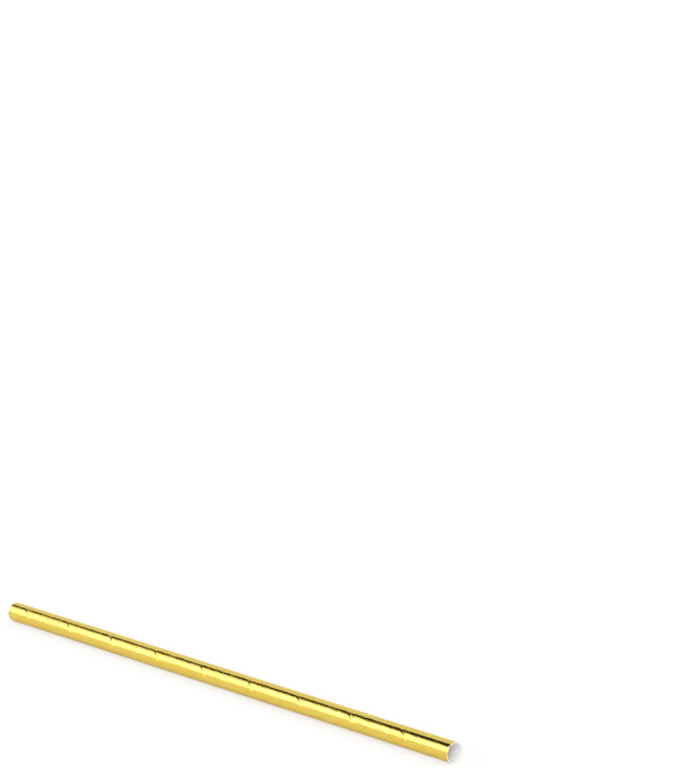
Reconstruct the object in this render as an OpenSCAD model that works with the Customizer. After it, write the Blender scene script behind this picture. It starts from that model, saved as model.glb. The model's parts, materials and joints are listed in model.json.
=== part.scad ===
// Paper drinking straw with a gold foil face, lying on its side
//
// A white tube, wound from paper strips and glued into one body, wears a last strip of
// gold-faced paper. That strip is wound in a right-handed spiral. Its edges butt: they touch
// and are glued at their foot, and a hairline between them runs round the straw from end to
// end. Both ends are cut square.
//
// Frame: millimetres, +Z up. The axis of the tube runs along X, and the origin is under the
// middle of the straw, on the surface that it lies on. The two ends are alike.

/* [Straw] */
// Length from end to end
straw_length = 197; // [60:1:300]
// Diameter over the foil ply
outer_diameter = 6; // [4:0.1:14]
// Wall of the white paper tube under the foil ply
paper_wall = 0.3; // [0.2:0.05:0.8]
// Depth of the flat along the lowest line, where a wound tube is a hair out of round
lying_flat = 0.03; // [0:0.01:0.04]

/* [Foil ply] */
// Thickness of the gold-faced outer strip
foil_ply = 0.1; // [0.08:0.01:0.2]
// Advance of the seam along the straw in one turn
seam_lead = 21.3; // [12:0.1:40]
// Width of the hairline between the butted edges, square to the seam
seam_gap = 0.16; // [0.1:0.02:0.5]
// Height over which the butted edges touch, under the hairline
seam_foot = 0.07; // [0.04:0.01:0.07]
// Place of the seam round the tube at mid-length, in degrees from +Y towards the top
seam_angle = 216; // [0:1:359]

/* [Hidden] */

$fn = 144;

// Radii from the outside in: foil face, joint between foil ply and tube, bore
foil_radius = outer_diameter / 2;
tube_radius = foil_radius - foil_ply;
bore_radius = tube_radius - paper_wall;

// The straw rests on the flat of its foil face
axis_height = foil_radius - lying_flat;

// Past the ends and below the straw, so that what is cut away leaves no skin there
cut_overrun = 1;

// The joint between ply and tube is hidden, and it is drawn with flats
joint_sides = 96;

// Slope of the seam on the unrolled foil face, and the hairline measured along the straw
seam_slope = atan2(PI * outer_diameter, seam_lead);
seam_gap_along = seam_gap / sin(seam_slope);

// The hairline is cut by a thin ribbon that follows the helix in straight steps, short enough
// for its floor to sag by no more than a quarter of the foot's height. There is a whole number of
// steps in each turn, so the ribbon's corners lie on lines along the straw. It stands far
// proud of the foil face, so that its sides cross the face on those lines too.
cutter_floor_radius = tube_radius + seam_foot;
cutter_outer_radius = 2 * foil_radius;
cutter_sag = seam_foot / 4;
cutter_steps_per_turn = ceil(180 / acos(1 - cutter_sag / cutter_floor_radius));
cutter_step = 360 / cutter_steps_per_turn;

// The flat lies midway between two lines, where the floor of the hairline is lowest, so that the
// hairline runs on across the flat
line_angle = -90 + cutter_step / 2;

// The ribbon starts and ends past the ends of the straw
cutter_reach = 360 * (straw_length / 2 + cut_overrun) / seam_lead;
cutter_first = floor((seam_angle - cutter_reach - line_angle) / cutter_step);
cutter_last = ceil((seam_angle + cutter_reach - line_angle) / cutter_step);
cutter_steps = cutter_last - cutter_first;

// Lays what is drawn upright on the axis of the straw
module along_straw() {
    translate([0, 0, axis_height])
        rotate([0, 90, 0])
            children();
}

// Everything inside the joint between ply and tube
module joint_core(length) {
    linear_extrude(height = length, center = true)
        polygon([for (side = [0:joint_sides - 1])
            tube_radius * [cos(360 * side / joint_sides), sin(360 * side / joint_sides)]]);
}

// Point of the cutter at one step along the seam, at a radius, shifted along the straw
function seam_point(step, radius, shift) =
    let (
        turn = line_angle + cutter_step * (cutter_first + step),
        station = seam_lead * (turn - seam_angle) / 360
    )
    [station + shift, radius * cos(turn), axis_height + radius * sin(turn)];

// The four corners of the cutter's section at one step
function seam_section(step) =
    let (half = seam_gap_along / 2)
    [
        seam_point(step, cutter_floor_radius, -half),
        seam_point(step, cutter_floor_radius, half),
        seam_point(step, cutter_outer_radius, half),
        seam_point(step, cutter_outer_radius, -half)
    ];

// Two triangles for each side of the ribbon between one section and the next
function ribbon_sides(step) =
    [for (side = [0:3], half = [0, 1])
        let (
            near = 4 * step + side,
            next = 4 * step + (side + 1) % 4
        )
        half == 0 ? [near, near + 4, next + 4] : [near, next + 4, next]
    ];

// Ribbon that follows the seam and cuts its hairline
module seam_cutter() {
    last = 4 * cutter_steps;
    polyhedron(
        points = [for (step = [0:cutter_steps]) each seam_section(step)],
        faces = concat(
            [[0, 1, 2, 3]],
            [for (step = [0:cutter_steps - 1]) each ribbon_sides(step)],
            [[last + 3, last + 2, last + 1, last]]
        ),
        convexity = 10
    );
}

// What the flat takes off, below the surface that the straw lies on
module below_ground() {
    translate([0, 0, -cut_overrun / 2])
        cube([straw_length + 2 * cut_overrun, outer_diameter, cut_overrun], center = true);
}

// White tube of wound paper, with its bore
module paper_tube() {
    color("white")
        along_straw()
            difference() {
                joint_core(straw_length);
                cylinder(h = straw_length + 2 * cut_overrun, r = bore_radius, center = true);
            }
}

// Gold-faced strip round the tube, with the hairline along its butted edges
module foil_wrap() {
    color("gold")
        difference() {
            along_straw()
                difference() {
                    cylinder(h = straw_length, r = foil_radius, center = true);
                    joint_core(straw_length + 2 * cut_overrun);
                }
            below_ground();
            seam_cutter();
        }
}

paper_tube();
foil_wrap();
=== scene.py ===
"""Gold foil-faced paper drinking straw, lying on a pale floor.

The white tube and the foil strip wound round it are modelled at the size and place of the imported
part, and a plain studio is set up round them.
"""

import json
import math

import bpy
from mathutils import Matrix, Vector


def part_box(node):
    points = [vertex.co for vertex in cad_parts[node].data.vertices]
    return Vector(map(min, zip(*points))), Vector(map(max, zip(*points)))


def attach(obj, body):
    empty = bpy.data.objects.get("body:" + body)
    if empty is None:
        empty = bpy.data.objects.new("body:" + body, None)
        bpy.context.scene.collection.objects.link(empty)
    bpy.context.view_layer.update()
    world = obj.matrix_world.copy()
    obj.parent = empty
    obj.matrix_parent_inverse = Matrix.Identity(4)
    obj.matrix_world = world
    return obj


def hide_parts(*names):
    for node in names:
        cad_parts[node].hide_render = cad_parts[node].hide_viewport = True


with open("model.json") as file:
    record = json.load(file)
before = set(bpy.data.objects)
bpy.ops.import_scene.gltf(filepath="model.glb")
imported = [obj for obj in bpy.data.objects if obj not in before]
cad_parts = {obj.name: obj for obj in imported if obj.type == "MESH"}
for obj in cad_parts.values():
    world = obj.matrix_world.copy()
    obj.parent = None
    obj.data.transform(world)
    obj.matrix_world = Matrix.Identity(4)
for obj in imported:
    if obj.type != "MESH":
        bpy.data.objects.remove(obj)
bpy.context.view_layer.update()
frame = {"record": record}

bl_info = {
    "name": "Foil-faced paper straw",
    "version": (1, 0, 0),
    "blender": (4, 5, 0),
    "location": "View3D > Sidebar > Straw",
    "description": "Models a paper drinking straw with a gold foil face, and its studio",
    "category": "Add Mesh",
}

MM = 0.001

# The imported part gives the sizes: the straw's length and radius, and the radius of its bore
FOIL_LOW, FOIL_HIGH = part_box("foil_wrap")
TUBE_LOW, TUBE_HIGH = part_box("paper_tube")
LENGTH = FOIL_HIGH.x - FOIL_LOW.x
END = LENGTH / 2
FOIL_RADIUS = (FOIL_HIGH.y - FOIL_LOW.y) / 2
TUBE_RADIUS = (TUBE_HIGH.y - TUBE_LOW.y) / 2
BORE_RADIUS = next(m["dims"]["r_mm"] for m in frame["record"]["mounts"] if m["name"] == "bore") * MM
AXIS_HEIGHT = FOIL_HIGH.z - FOIL_RADIUS

# How near to a cutting plane a vertex counts as on it
CUT_TOLERANCE = 0.0001 * MM

# How near to an end a vertex counts as on its rim
RIM_TOLERANCE = 0.001 * MM

# Rings round the tube, as shares of half its length, closer together towards its ends
TUBE_RINGS = (0.5, 0.8, 0.93, 0.98, 0.995)

# Depth at each end in which the cut rim wanders, and the grain of its wander
WANDER_REACH = 0.2 * MM
WANDER_GRAIN = 0.8 * MM

# Cuts across the strip: on its shoulders, as shares of their width, and between the shoulders
SHOULDER_CUTS = (0.04, 0.1, 0.18, 0.3, 0.45, 0.65, 0.85)
FACE_SPANS = 36

# How fast the shoulder falls towards the strip's edge
DIP_CURVE = 1.3

# Grain of the strip's unevenness, and the depth at each end that it leaves square
RIPPLE_GRAIN = 3 * MM
RIPPLE_CLEAR = 0.05 * MM

# Turns of the strip that are wound past the straw's ends, and then cut off
SPARE_TURNS = 3

# How near to an end the middle of a cut face is
CUT_FACE = 0.01 * MM

# Angle above which an edge stays sharp
TUBE_SHARP = math.radians(40)
STRIP_SHARP = math.radians(35)

# Height of the fibres on the uncoated paper, and of those on the foil's cut edge
PAPER_FIBRE = 0.006 * MM
STRIP_FIBRE = 0.004 * MM

# The studio is drawn by direction. Along and across are where a direction meets a flat ceiling
# one unit up, and height is its Z at a length of one unit. An edge is two places: just outside
# what it bounds, and just inside.

# Height of the walls' top, and the X from which the wall ahead of the mouth is dim
WALL_TOP = (0.56, 0.5)
END_WALL = (0.7, 0.8)

# The backdrop covers the ceiling from this edge across. The edge leans from a place along.
BACKDROP_EDGE = (0.15, 0.19)
BACKDROP_BEND = 1.08
BACKDROP_LEAN = 0.5

# Round panel that the mouth looks towards: the Y and Z of its middle where X is 1, and its edge
FILL_Y = -0.9
FILL_Z = 0.5
FILL_EDGE = (1.29, 1.34)

# Square top softbox: its middle along the straw, and its edge measured from there
TOP_MIDDLE = 0.4
TOP_EDGE = (0.56, 0.5)

# Key softbox: its end along, and its upper edge across, which leans from a place along
KEY_END = (-1.028, -1.053)
KEY_EDGE = (-0.235, -0.27)
KEY_BEND = 1.07
KEY_LEAN = 0.9

# The Y that it stays in front of, the heights over which it fades in from the floor, and the
# places across over which it rises from its rim's light to its full light
KEY_FRONT = (0.05, 0)
KEY_FADE = (-0.06, 0.42)
KEY_FACE = (-0.15, -1.4)


# Settings that a user would change

class StrawTubeSettings(bpy.types.PropertyGroup):
    """White tube of wound paper"""

    paper_colour: bpy.props.FloatVectorProperty(
        name="Paper colour", description="Colour of the uncoated white paper",
        subtype="COLOR", size=3, min=0, max=1, default=(0.91, 0.905, 0.89))
    cut_colour: bpy.props.FloatVectorProperty(
        name="Cut colour", description="Colour of the paper where it is cut, a little darker",
        subtype="COLOR", size=3, min=0, max=1, default=(0.75, 0.745, 0.73))
    sides: bpy.props.IntProperty(
        name="Sides", description="Flats round the tube", default=96, min=24, max=256)
    rim_round: bpy.props.FloatProperty(
        name="Rim rounding", description="Rounding of the cut rim",
        default=0.05 * MM, min=0.01 * MM, max=0.12 * MM, unit="LENGTH", precision=6)
    rim_wander: bpy.props.FloatProperty(
        name="Rim wander", description="How far the cut wanders along the straw",
        default=0.06 * MM, min=0, max=0.2 * MM, unit="LENGTH", precision=6)


class StrawFoilSettings(bpy.types.PropertyGroup):
    """Gold-faced strip wound round the tube"""

    seam_lead: bpy.props.FloatProperty(
        name="Seam lead", description="Advance of the seam along the straw in one turn",
        default=21.3 * MM, min=12 * MM, max=40 * MM, unit="LENGTH", precision=5)
    seam_angle: bpy.props.FloatProperty(
        name="Seam angle", description="Place of the seam at mid-length, from +Y towards the top",
        default=math.radians(216), min=0, max=2 * math.pi, subtype="ANGLE")
    seam_open: bpy.props.FloatProperty(
        name="Seam opening", description="Gap between the butted edges, along the straw",
        default=0.03 * MM, min=0, max=0.3 * MM, unit="LENGTH", precision=6)
    shoulder_width: bpy.props.FloatProperty(
        name="Shoulder width", description="How far from its edge the strip starts to dip",
        default=0.45 * MM, min=0.1 * MM, max=2 * MM, unit="LENGTH", precision=6)
    shoulder_dip: bpy.props.FloatProperty(
        name="Shoulder dip", description="How deep the strip dips at its edge towards +X",
        default=0.055 * MM, min=0, max=0.09 * MM, unit="LENGTH", precision=6)
    other_share: bpy.props.FloatProperty(
        name="Other shoulder",
        description="Size of the shoulder on the other edge, as a share of this one",
        subtype="FACTOR", default=0.1, min=0, max=1)
    steps: bpy.props.IntProperty(
        name="Steps", description="Steps in one turn of the strip", default=96, min=36, max=160)
    ripple: bpy.props.FloatProperty(
        name="Ripple", description="Height of the soft unevenness of the strip",
        default=0.008 * MM, min=0, max=0.05 * MM, unit="LENGTH", precision=6)
    foil_colour: bpy.props.FloatVectorProperty(
        name="Foil colour", description="Colour of the gold foil",
        subtype="COLOR", size=3, min=0, max=1, default=(0.78, 0.612, 0.122))
    foil_roughness: bpy.props.FloatProperty(
        name="Foil roughness", description="Blur of what the foil reflects",
        subtype="FACTOR", default=0.1, min=0, max=1)
    cut_colour: bpy.props.FloatVectorProperty(
        name="Cut colour", description="Colour of the strip's own paper, where it is cut",
        subtype="COLOR", size=3, min=0, max=1, default=(0.75, 0.745, 0.73))


class StrawStageSettings(bpy.types.PropertyGroup):
    """Floor, light and camera"""

    floor_colour: bpy.props.FloatVectorProperty(
        name="Floor colour", description="Colour of the pale floor",
        subtype="COLOR", size=3, min=0, max=1, default=(0.94, 0.94, 0.935))
    floor_glow: bpy.props.FloatProperty(
        name="Floor glow",
        description="How far the floor that the camera sees is taken to plain white",
        subtype="FACTOR", default=0.6, min=0, max=1)
    mirror_glow: bpy.props.FloatProperty(
        name="Mirror glow", description="The same for the floor that the foil mirrors",
        subtype="FACTOR", default=0.08, min=0, max=1)
    floor_size: bpy.props.FloatProperty(
        name="Floor size", description="Width of the floor", default=16, min=2, unit="LENGTH")
    wall_light: bpy.props.FloatProperty(
        name="Wall light", description="Brightness of the room's pale walls",
        default=0.93, min=0)
    end_light: bpy.props.FloatProperty(
        name="End light", description="Brightness of the wall straight ahead of the mouth",
        default=0.25, min=0)
    fill_light: bpy.props.FloatProperty(
        name="Fill light", description="Brightness of the panel that the mouth looks towards",
        default=3.6, min=0)
    gap_light: bpy.props.FloatProperty(
        name="Gap light", description="Brightness of the dim ceiling between the softboxes",
        default=0.025, min=0)
    key_light: bpy.props.FloatProperty(
        name="Key softbox", description="Brightness of the face of the key softbox",
        default=3.0, min=0)
    key_rim: bpy.props.FloatProperty(
        name="Key softbox rim", description="Brightness of the key softbox at its upper edge",
        default=0.95, min=0)
    key_colour: bpy.props.FloatVectorProperty(
        name="Key colour", description="Colour of the key softbox, a little cool",
        subtype="COLOR", size=3, min=0, max=1.5, default=(1.0, 1.0, 1.3))
    top_light: bpy.props.FloatProperty(
        name="Top softbox", description="Brightness of the face of the top softbox",
        default=1.9, min=0)
    lens: bpy.props.FloatProperty(
        name="Lens", description="Focal length in millimetres", default=138.2, min=10)
    eye: bpy.props.FloatVectorProperty(
        name="Camera place", description="Where the camera stands",
        subtype="TRANSLATION", default=(0.6388, -0.5437, 0.2618))
    aim: bpy.props.FloatVectorProperty(
        name="Camera aim", description="Point of the floor in the middle of the picture",
        subtype="TRANSLATION", default=(-0.2986, 0.3282, 0.0))
    roll: bpy.props.FloatProperty(
        name="Camera roll", description="Turn of the camera about its line of sight",
        subtype="ANGLE", default=math.radians(-0.627))


# Helpers for modelling by hand

def deselect_all():
    """Leaves object mode with nothing selected, because an operator acts on all that is."""
    if bpy.context.mode != "OBJECT":
        bpy.ops.object.mode_set(mode="OBJECT")
    bpy.ops.object.select_all(action="DESELECT")


def activate(obj):
    """Makes obj the only selected object, and the active one."""
    deselect_all()
    obj.select_set(True)
    bpy.context.view_layer.objects.active = obj


def named(name):
    """Names the primitive that was just added."""
    obj = bpy.context.object
    obj.name = name
    obj.data.name = name
    return obj


def edit(obj):
    """Opens obj in edit mode with nothing selected."""
    activate(obj)
    bpy.ops.object.mode_set(mode="EDIT")
    bpy.ops.mesh.select_mode(type="VERT")
    bpy.ops.mesh.select_all(action="DESELECT")


def pick(obj, element, wanted):
    """Selects the vertices, edges or faces that pass the test, which is given their places."""
    bpy.ops.mesh.select_mode(type=element)
    bpy.ops.mesh.select_all(action="DESELECT")
    bpy.ops.object.mode_set(mode="OBJECT")
    mesh = obj.data
    if element == "VERT":
        for vertex in mesh.vertices:
            vertex.select = wanted(vertex.co)
    elif element == "EDGE":
        for edge in mesh.edges:
            edge.select = wanted(*(mesh.vertices[index].co for index in edge.vertices))
    else:
        for face in mesh.polygons:
            face.select = wanted(face.center, face.normal)
    bpy.ops.object.mode_set(mode="EDIT")


def cut(place, towards=1, **options):
    """Cuts the whole of the open mesh square to the X axis."""
    bpy.ops.mesh.select_all(action="SELECT")
    bpy.ops.mesh.bisect(
        plane_co=(place, 0, 0), plane_no=(towards, 0, 0), threshold=CUT_TOLERANCE, **options)


def face_outwards():
    """Points the open mesh's faces outwards, and closes it."""
    bpy.ops.mesh.select_all(action="SELECT")
    bpy.ops.mesh.normals_make_consistent(inside=False)
    bpy.ops.object.mode_set(mode="OBJECT")


def soft_noise(obj, name, grain, depth, direction, strength, wanted):
    """Adds a modifier that pushes the vertices that pass the test by soft noise, one way only."""
    texture = bpy.data.textures.new(name, "CLOUDS")
    texture.noise_scale = grain
    texture.noise_depth = depth
    group = obj.vertex_groups.new(name=name)
    group.add([v.index for v in obj.data.vertices if wanted(v.co)], 1, "REPLACE")
    move = obj.modifiers.new(name, "DISPLACE")
    move.texture = texture
    move.texture_coords = "LOCAL"
    move.direction = direction
    move.mid_level = 1
    move.strength = strength
    move.vertex_group = name


def apply_modifiers(obj):
    """Applies what stands on the object's list of modifiers."""
    activate(obj)
    for name in [m.name for m in obj.modifiers]:
        bpy.ops.object.modifier_apply(modifier=name)


def paint(obj, material, wanted):
    """Gives the faces that pass the test one more material."""
    obj.data.materials.append(material)
    edit(obj)
    pick(obj, "FACE", wanted)
    obj.active_material_index = len(obj.data.materials) - 1
    bpy.ops.object.material_slot_assign()
    bpy.ops.object.mode_set(mode="OBJECT")


def settle(obj, sharp):
    """Puts the object's place into its mesh, and smooths all but its sharp edges."""
    activate(obj)
    bpy.ops.object.transform_apply(location=True, rotation=True, scale=True)
    bpy.ops.object.shade_smooth_by_angle(angle=sharp)
    deselect_all()


def distance_from_axis(point):
    """Distance of a point from the straw's axis, for a straw that still lies on the X axis."""
    return math.hypot(point.y, point.z)


# Materials

class Tree:
    """A node tree, with short calls for sums on its sockets."""

    def __init__(self, owner):
        owner.use_nodes = True
        self.tree = owner.node_tree

    def add(self, kind, **values):
        node = self.tree.nodes.new("ShaderNode" + kind)
        for key, value in values.items():
            setattr(node, key, value)
        return node

    def link(self, start, end):
        self.tree.links.new(start, end)

    def feed(self, term, socket):
        """Links another node to a socket, or sets a plain number on it."""
        if isinstance(term, bpy.types.NodeSocket):
            self.link(term, socket)
        else:
            socket.default_value = term

    def sum(self, operation, *terms):
        """One sum on sockets and plain numbers."""
        node = self.add("Math", operation=operation)
        for socket, term in zip(node.inputs, terms):
            self.feed(term, socket)
        return node.outputs["Value"]

    def spread(self, value, low, high, to_low, to_high, curve="LINEAR"):
        """Maps a value from one range to another."""
        node = self.add("MapRange", interpolation_type=curve)
        node.inputs["From Min"].default_value = low
        node.inputs["From Max"].default_value = high
        node.inputs["To Min"].default_value = to_low
        node.inputs["To Max"].default_value = to_high
        self.link(value, node.inputs["Value"])
        return node.outputs["Result"]

    def inside(self, value, edge, out=0, full=1):
        """Soft step over an edge, from out just outside it to full just inside."""
        (low, to_low), (high, to_high) = sorted(zip(edge, (out, full)))
        return self.spread(value, low, high, to_low, to_high, "SMOOTHSTEP")

    def over(self, mask, upper, lower):
        """Lays one brightness over another where the mask is 1."""
        node = self.add("Mix", data_type="FLOAT")
        for index, term in ((0, mask), (2, lower), (3, upper)):
            self.feed(term, node.inputs[index])
        return node.outputs[0]

    def lean(self, along, bend, slope, across):
        """Place across, lowered by the slope past a place along, for an edge that bends there."""
        past = self.sum("MINIMUM", self.sum("ADD", along, bend), 0)
        return self.sum("MULTIPLY_ADD", past, slope, across)


class Finish(Tree):
    """A material's node tree, with short calls for what the finishes need."""

    def __init__(self, name):
        self.material = bpy.data.materials.new(name)
        super().__init__(self.material)
        self.shader = self.tree.nodes["Principled BSDF"]
        self.output = self.tree.nodes["Material Output"]
        self.place = self.add("TexCoord").outputs["Object"]

    def noise(self, scale, detail=2.0, roughness=0.5, stretch=(1, 1, 1)):
        """Noise on Object coordinates. Scale is in features per metre."""
        mapping = self.add("Mapping")
        mapping.inputs["Scale"].default_value = stretch
        self.link(self.place, mapping.inputs["Vector"])
        node = self.add("TexNoise")
        node.inputs["Scale"].default_value = scale
        node.inputs["Detail"].default_value = detail
        node.inputs["Roughness"].default_value = roughness
        self.link(mapping.outputs["Vector"], node.inputs["Vector"])
        return node.outputs["Fac"]

    def blend(self, factor, first, second):
        """Mixes two colours."""
        node = self.add("Mix", data_type="RGBA")
        self.link(factor, node.inputs["Factor"])
        node.inputs[6].default_value = (*first, 1)
        node.inputs[7].default_value = (*second, 1)
        return node.outputs[2]

    def bump(self, height, distance, normal=None):
        """Raises the surface by height times distance, in metres."""
        node = self.add("Bump")
        node.inputs["Strength"].default_value = 1
        node.inputs["Distance"].default_value = distance
        self.link(height, node.inputs["Height"])
        if normal:
            self.link(normal, node.inputs["Normal"])
        return node.outputs["Normal"]

    def set(self, **values):
        """Sets the shader's own sockets, underscores standing for spaces."""
        for key, value in values.items():
            self.shader.inputs[key.replace("_", " ")].default_value = value


def foil_finish(colour, roughness):
    """Gold foil on paper: bright metal with a fine grain from the paper under it."""
    foil = Finish("gold_foil")
    # The lacquer keeps the gold tone where the foil is seen at a slant
    foil.set(Metallic=1.0, Roughness=roughness, Specular_Tint=(1.0, 0.95, 0.8, 1))
    tone = foil.spread(foil.noise(330, detail=3), 0.35, 0.65, 0, 1)
    warmer = (colour[0], colour[1] * 0.94, colour[2] * 0.8)
    foil.link(foil.blend(tone, warmer, colour), foil.shader.inputs["Base Color"])
    grain = foil.bump(foil.noise(2000, detail=3, roughness=0.6), distance=0.024 * MM)
    wavy = foil.noise(900, detail=3, roughness=0.6, stretch=(0.5, 1, 1))
    foil.link(foil.bump(wavy, distance=0.07 * MM, normal=grain), foil.shader.inputs["Normal"])
    return foil.material


def paper_finish(name, colour, fibre):
    """Uncoated paper: matte white with short fibres."""
    paper = Finish(name)
    paper.set(Roughness=0.9, IOR=1.45)
    tone = paper.spread(paper.noise(1400, detail=4, roughness=0.6), 0.3, 0.7, 0, 1)
    greyer = tuple(c * 0.95 for c in colour)
    paper.link(paper.blend(tone, greyer, colour), paper.shader.inputs["Base Color"])
    fine = paper.bump(paper.noise(9000, detail=4, roughness=0.65), distance=0.25 * fibre)
    fibres = paper.noise(2500, detail=3, roughness=0.6, stretch=(0.4, 1, 1))
    paper.link(paper.bump(fibres, distance=fibre, normal=fine), paper.shader.inputs["Normal"])
    return paper.material


# Pieces

class STRAW_OT_wound_tube(bpy.types.Operator):
    """Models the white tube of wound paper, with its bore and cut rims"""

    bl_idname = "straw.wound_tube"
    bl_label = "Wound tube"

    def execute(self, context):
        settings = context.scene.straw_tube
        wall = TUBE_RADIUS - BORE_RADIUS
        if wall <= 0:
            raise RuntimeError("the bore is wider than the tube")
        deselect_all()
        bpy.ops.mesh.primitive_cylinder_add(
            vertices=settings.sides, radius=BORE_RADIUS, depth=LENGTH,
            end_fill_type="NOTHING", rotation=(0, math.pi / 2, 0))
        tube = named("wound_tube")
        bpy.ops.object.transform_apply(rotation=True)
        edit(tube)
        for share in TUBE_RINGS:
            for side in (-1, 1):
                cut(side * share * END)
        face_outwards()

        solid = tube.modifiers.new("Wall", "SOLIDIFY")
        solid.thickness = wall
        solid.offset = 1
        solid.use_even_offset = True
        apply_modifiers(tube)
        self.round_rims(tube, wall, settings.rim_round)
        self.wander(tube, settings.rim_wander)

        tube.location.z = AXIS_HEIGHT
        tube.data.materials.append(paper_finish("white_paper", settings.paper_colour, PAPER_FIBRE))
        paint(tube, paper_finish("cut_paper", settings.cut_colour, PAPER_FIBRE),
              lambda middle, normal: abs(normal.x) > 0.5)
        settle(tube, TUBE_SHARP)
        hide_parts("paper_tube")
        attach(tube, "root")
        return {"FINISHED"}

    def round_rims(self, tube, wall, size):
        """Rounds the rims, inside and outside."""
        def on_rim(first, second):
            near_end = min(abs(first.x), abs(second.x)) > END - RIM_TOLERANCE
            same_end = first.x * second.x > 0
            apart = abs(distance_from_axis(first) - distance_from_axis(second))
            return near_end and same_end and apart < wall / 4

        edit(tube)
        pick(tube, "EDGE", on_rim)
        bpy.ops.mesh.bevel(offset=size, segments=3, affect="EDGES")
        bpy.ops.object.mode_set(mode="OBJECT")

    def wander(self, tube, height):
        """Lets the cut wander a little along the straw, inwards only."""
        for side, name in ((1, "mouth"), (-1, "foot")):
            soft_noise(tube, name, WANDER_GRAIN, 2, "X", side * height,
                       lambda place: side * place.x > END - WANDER_REACH)
        apply_modifiers(tube)
        tube.vertex_groups.clear()


class STRAW_OT_foil_strip(bpy.types.Operator):
    """Models the gold-faced strip as it is wound round the tube, edge to edge"""

    bl_idname = "straw.foil_strip"
    bl_label = "Foil strip"

    def execute(self, context):
        settings = context.scene.straw_foil
        lead = settings.seam_lead
        ply = FOIL_RADIUS - TUBE_RADIUS
        # The strip's section is drawn over the axis, where the surface angle is 90 degrees
        seam_at_top = lead * (math.pi / 2 - settings.seam_angle) / (2 * math.pi)
        turns = math.ceil(LENGTH / lead) + SPARE_TURNS
        first_seam = seam_at_top - lead * math.ceil((seam_at_top + END) / lead + 1)
        # The dip is wider on one side of the edges, and its middle lies on the part's hairline
        dip_offset = settings.shoulder_width * (1 - settings.other_share) / 2
        middle = first_seam + lead / 2 + dip_offset
        strip = self.section(middle, lead - settings.seam_open, ply, settings)

        screw = strip.modifiers.new("Winding", "SCREW")
        screw.axis = "X"
        screw.angle = 2 * math.pi * turns
        screw.screw_offset = lead * turns
        screw.steps = screw.render_steps = settings.steps * turns
        screw.use_merge_vertices = False
        screw.use_smooth_shade = True
        apply_modifiers(strip)

        self.cut_to_length(strip)
        self.uneven(strip, ply, settings.ripple)
        self.flatten(strip)
        strip.location.z = AXIS_HEIGHT
        self.finish(strip, ply, settings)
        return {"FINISHED"}

    def section(self, middle, width, ply, settings):
        """Draws the strip's section, a closed outline with shoulders that dip to the seam."""
        deselect_all()
        bpy.ops.mesh.primitive_plane_add(size=1, rotation=(math.pi / 2, 0, 0))
        strip = named("foil_strip")
        bpy.ops.object.transform_apply(rotation=True)
        edit(strip)
        bpy.ops.mesh.select_all(action="SELECT")
        bpy.ops.transform.resize(value=(width, 1, ply))
        bpy.ops.transform.translate(value=(middle, 0, TUBE_RADIUS + ply / 2))

        half = width / 2
        reach = settings.shoulder_width
        face = half - reach
        cuts = [reach * share for share in SHOULDER_CUTS]
        places = [-half + c for c in cuts] + [half - c for c in cuts]
        places += [-face + 2 * face * span / FACE_SPANS for span in range(FACE_SPANS + 1)]
        for place in sorted(places):
            cut(middle + place)

        # The section is hollow: only its outline is wound
        bpy.ops.mesh.select_all(action="SELECT")
        bpy.ops.mesh.delete(type="ONLY_FACE")
        near = cuts[0] / 4
        top = TUBE_RADIUS + ply * 0.75
        low = TUBE_RADIUS + ply * 0.25
        pick(strip, "EDGE", lambda first, second: abs(first.z - second.z) > ply / 2
             and abs(first.x - middle) < half - near)
        bpy.ops.mesh.delete(type="EDGE")

        for place in [0] + cuts:
            for side, share in ((1, 1), (-1, settings.other_share)):
                if place < reach * share:
                    shoulder = middle + side * (half - place)
                    pick(strip, "VERT", lambda corner: corner.z > top
                         and abs(corner.x - shoulder) < near)
                    depth = settings.shoulder_dip * share * self.dip(place / (reach * share))
                    bpy.ops.transform.translate(value=(0, 0, -depth))

        # The underside needs no more than a few corners
        pick(strip, "VERT", lambda corner: corner.z < low
             and abs(corner.x - middle) < half - near)
        bpy.ops.mesh.dissolve_limited(angle_limit=math.radians(2))
        bpy.ops.object.mode_set(mode="OBJECT")
        return strip

    def dip(self, share):
        """Depth of the shoulder, from 1 at the edge to 0 where it starts."""
        return (1 - share) ** DIP_CURVE

    def cut_to_length(self, strip):
        """Cuts both ends square and closes them."""
        edit(strip)
        for side in (-1, 1):
            cut(side * END, side, use_fill=True, clear_outer=True)
        face_outwards()

    def uneven(self, strip, ply, height):
        """Gives the strip the soft unevenness of paper that was wound and glued."""
        soft_noise(strip, "ripple", RIPPLE_GRAIN, 1, "NORMAL", height,
                   lambda place: distance_from_axis(place) > FOIL_RADIUS - ply * 0.75
                   and abs(place.x) < END - RIPPLE_CLEAR)
        apply_modifiers(strip)
        strip.vertex_groups.clear()

    def flatten(self, strip):
        """Presses the hair's breadth that is under the floor flat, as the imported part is."""
        edit(strip)
        pick(strip, "VERT", lambda place: place.z < -AXIS_HEIGHT)
        bpy.ops.transform.resize(value=(1, 1, 0), center_override=(0, 0, -AXIS_HEIGHT))
        bpy.ops.object.mode_set(mode="OBJECT")

    def finish(self, strip, ply, settings):
        """Gold on the face and its shoulders, bare paper on the cut ends and underside."""
        def bare(middle, normal):
            at_end = abs(normal.x) > 0.98 and abs(middle.x) > END - CUT_FACE
            return at_end or distance_from_axis(middle) < FOIL_RADIUS - ply * 0.85

        strip.data.materials.append(foil_finish(settings.foil_colour, settings.foil_roughness))
        paint(strip, paper_finish("strip_paper", settings.cut_colour, STRIP_FIBRE), bare)
        settle(strip, STRIP_SHARP)
        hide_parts("foil_wrap")
        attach(strip, "root")


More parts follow.
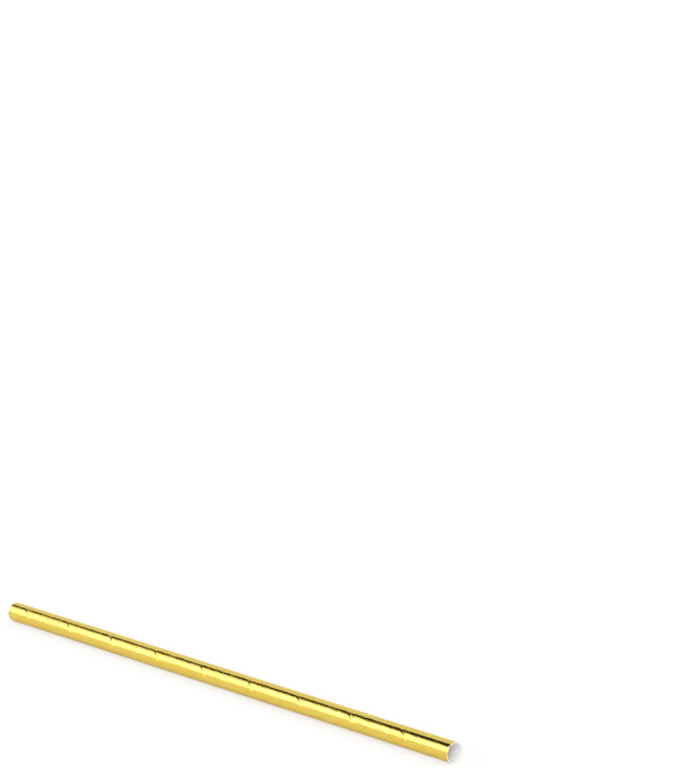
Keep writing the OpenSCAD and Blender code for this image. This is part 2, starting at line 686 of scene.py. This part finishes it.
class STRAW_OT_stage(bpy.types.Operator):
    """Sets up the pale floor, the soft studio light and the camera"""

    bl_idname = "straw.stage"
    bl_label = "Stage"

    def execute(self, context):
        settings = context.scene.straw_stage
        self.floor(settings)
        self.room(context.scene, settings)
        self.camera(context.scene, settings)
        context.scene.view_settings.view_transform = "Standard"
        return {"FINISHED"}

    def floor(self, settings):
        """Lays the pale floor, which keeps a soft shadow."""
        deselect_all()
        bpy.ops.mesh.primitive_plane_add(size=settings.floor_size)
        floor = named("floor")
        pale = Finish("pale_floor")
        pale.set(Roughness=1.0, Specular_IOR_Level=0, Base_Color=(*settings.floor_colour, 1))
        # The camera and the foil see the floor nearer to white than it is lit
        rays = pale.add("LightPath")
        seen = pale.sum("MULTIPLY", rays.outputs["Is Camera Ray"], settings.floor_glow)
        mirrored = pale.sum("MULTIPLY", rays.outputs["Is Glossy Ray"], settings.mirror_glow)
        mix = pale.add("MixShader")
        pale.link(pale.sum("MAXIMUM", seen, mirrored), mix.inputs[0])
        pale.link(pale.shader.outputs[0], mix.inputs[1])
        pale.link(pale.add("Emission").outputs[0], mix.inputs[2])
        pale.link(mix.outputs[0], pale.output.inputs["Surface"])
        floor.data.materials.append(pale.material)

    def room(self, scene, settings):
        """Pale walls all round, softboxes overhead and past the foot, and a dim ceiling between."""
        scene.world = bpy.data.worlds.new("studio_room")
        room = Tree(scene.world)
        parts = room.add("SeparateXYZ")
        room.link(room.add("TexCoord").outputs["Generated"], parts.inputs["Vector"])
        x, y, z = (parts.outputs[axis] for axis in "XYZ")
        height = room.sum("MAXIMUM", z, 0.001)
        along = room.sum("DIVIDE", x, height)
        across = room.sum("DIVIDE", y, height)

        rise = room.lean(along, BACKDROP_BEND, BACKDROP_LEAN, across)
        walls = room.sum(
            "MAXIMUM", room.inside(height, WALL_TOP), room.inside(rise, BACKDROP_EDGE))
        wall = room.over(room.inside(x, END_WALL), settings.end_light, settings.wall_light)
        light = room.over(walls, wall, settings.gap_light)

        facing = room.sum("MULTIPLY_ADD", z, FILL_Z, room.sum("MULTIPLY_ADD", y, FILL_Y, x))
        light = room.over(room.inside(facing, FILL_EDGE), settings.fill_light, light)

        sideways = room.sum("ABSOLUTE", room.sum("SUBTRACT", along, TOP_MIDDLE))
        square = room.sum("MAXIMUM", sideways, room.sum("ABSOLUTE", across))
        light = room.over(room.inside(square, TOP_EDGE), settings.top_light, light)

        side = room.lean(along, KEY_BEND, KEY_LEAN, across)
        key = room.inside(along, KEY_END)
        for value, edge in ((side, KEY_EDGE), (y, KEY_FRONT), (height, KEY_FADE)):
            key = room.sum("MULTIPLY", key, room.inside(value, edge))
        face = room.inside(across, KEY_FACE, settings.key_rim, settings.key_light)
        light = room.over(key, face, light)

        colour = room.add("Mix", data_type="RGBA")
        room.link(key, colour.inputs[0])
        colour.inputs[6].default_value = (1, 1, 1, 1)
        colour.inputs[7].default_value = (*settings.key_colour, 1)
        back = room.tree.nodes["Background"]
        room.link(colour.outputs[2], back.inputs["Color"])
        room.link(light, back.inputs["Strength"])

    def camera(self, scene, settings):
        """Looks at the straw from in front of its mouth, through a long lens."""
        deselect_all()
        eye, aim = Vector(settings.eye), Vector(settings.aim)
        bpy.ops.object.camera_add(location=eye)
        camera = bpy.context.object
        camera.name = "camera"
        sight = (aim - eye).to_track_quat("-Z", "Y").to_matrix()
        camera.rotation_euler = (sight @ Matrix.Rotation(settings.roll, 3, "Z")).to_euler()
        camera.data.lens = settings.lens
        camera.data.sensor_width = 36
        camera.data.clip_start = 0.01
        camera.data.clip_end = 100
        scene.camera = camera


class STRAW_PT_panel(bpy.types.Panel):
    """Lists the straw's settings and pieces"""

    bl_idname = "STRAW_PT_panel"
    bl_label = "Foil-faced paper straw"
    bl_space_type = "VIEW_3D"
    bl_region_type = "UI"
    bl_category = "Straw"

    def draw(self, context):
        for operator, group in zip(PIECES, SETTINGS):
            box = self.layout.box()
            owner = getattr(context.scene, group)
            for key in owner.__annotations__:
                box.prop(owner, key)
            box.operator(operator)


PIECES = ("straw.wound_tube", "straw.foil_strip", "straw.stage")
SETTINGS = {
    "straw_tube": StrawTubeSettings,
    "straw_foil": StrawFoilSettings,
    "straw_stage": StrawStageSettings,
}
CLASSES = (
    *SETTINGS.values(), STRAW_OT_wound_tube, STRAW_OT_foil_strip, STRAW_OT_stage, STRAW_PT_panel)


def register():
    for cls in CLASSES:
        bpy.utils.register_class(cls)
    for name, cls in SETTINGS.items():
        setattr(bpy.types.Scene, name, bpy.props.PointerProperty(type=cls))


def unregister():
    for name in SETTINGS:
        delattr(bpy.types.Scene, name)
    for cls in reversed(CLASSES):
        bpy.utils.unregister_class(cls)


def main():
    register()
    bpy.ops.straw.wound_tube()
    bpy.ops.straw.foil_strip()
    bpy.ops.straw.stage()


if __name__ == "__main__":
    main()
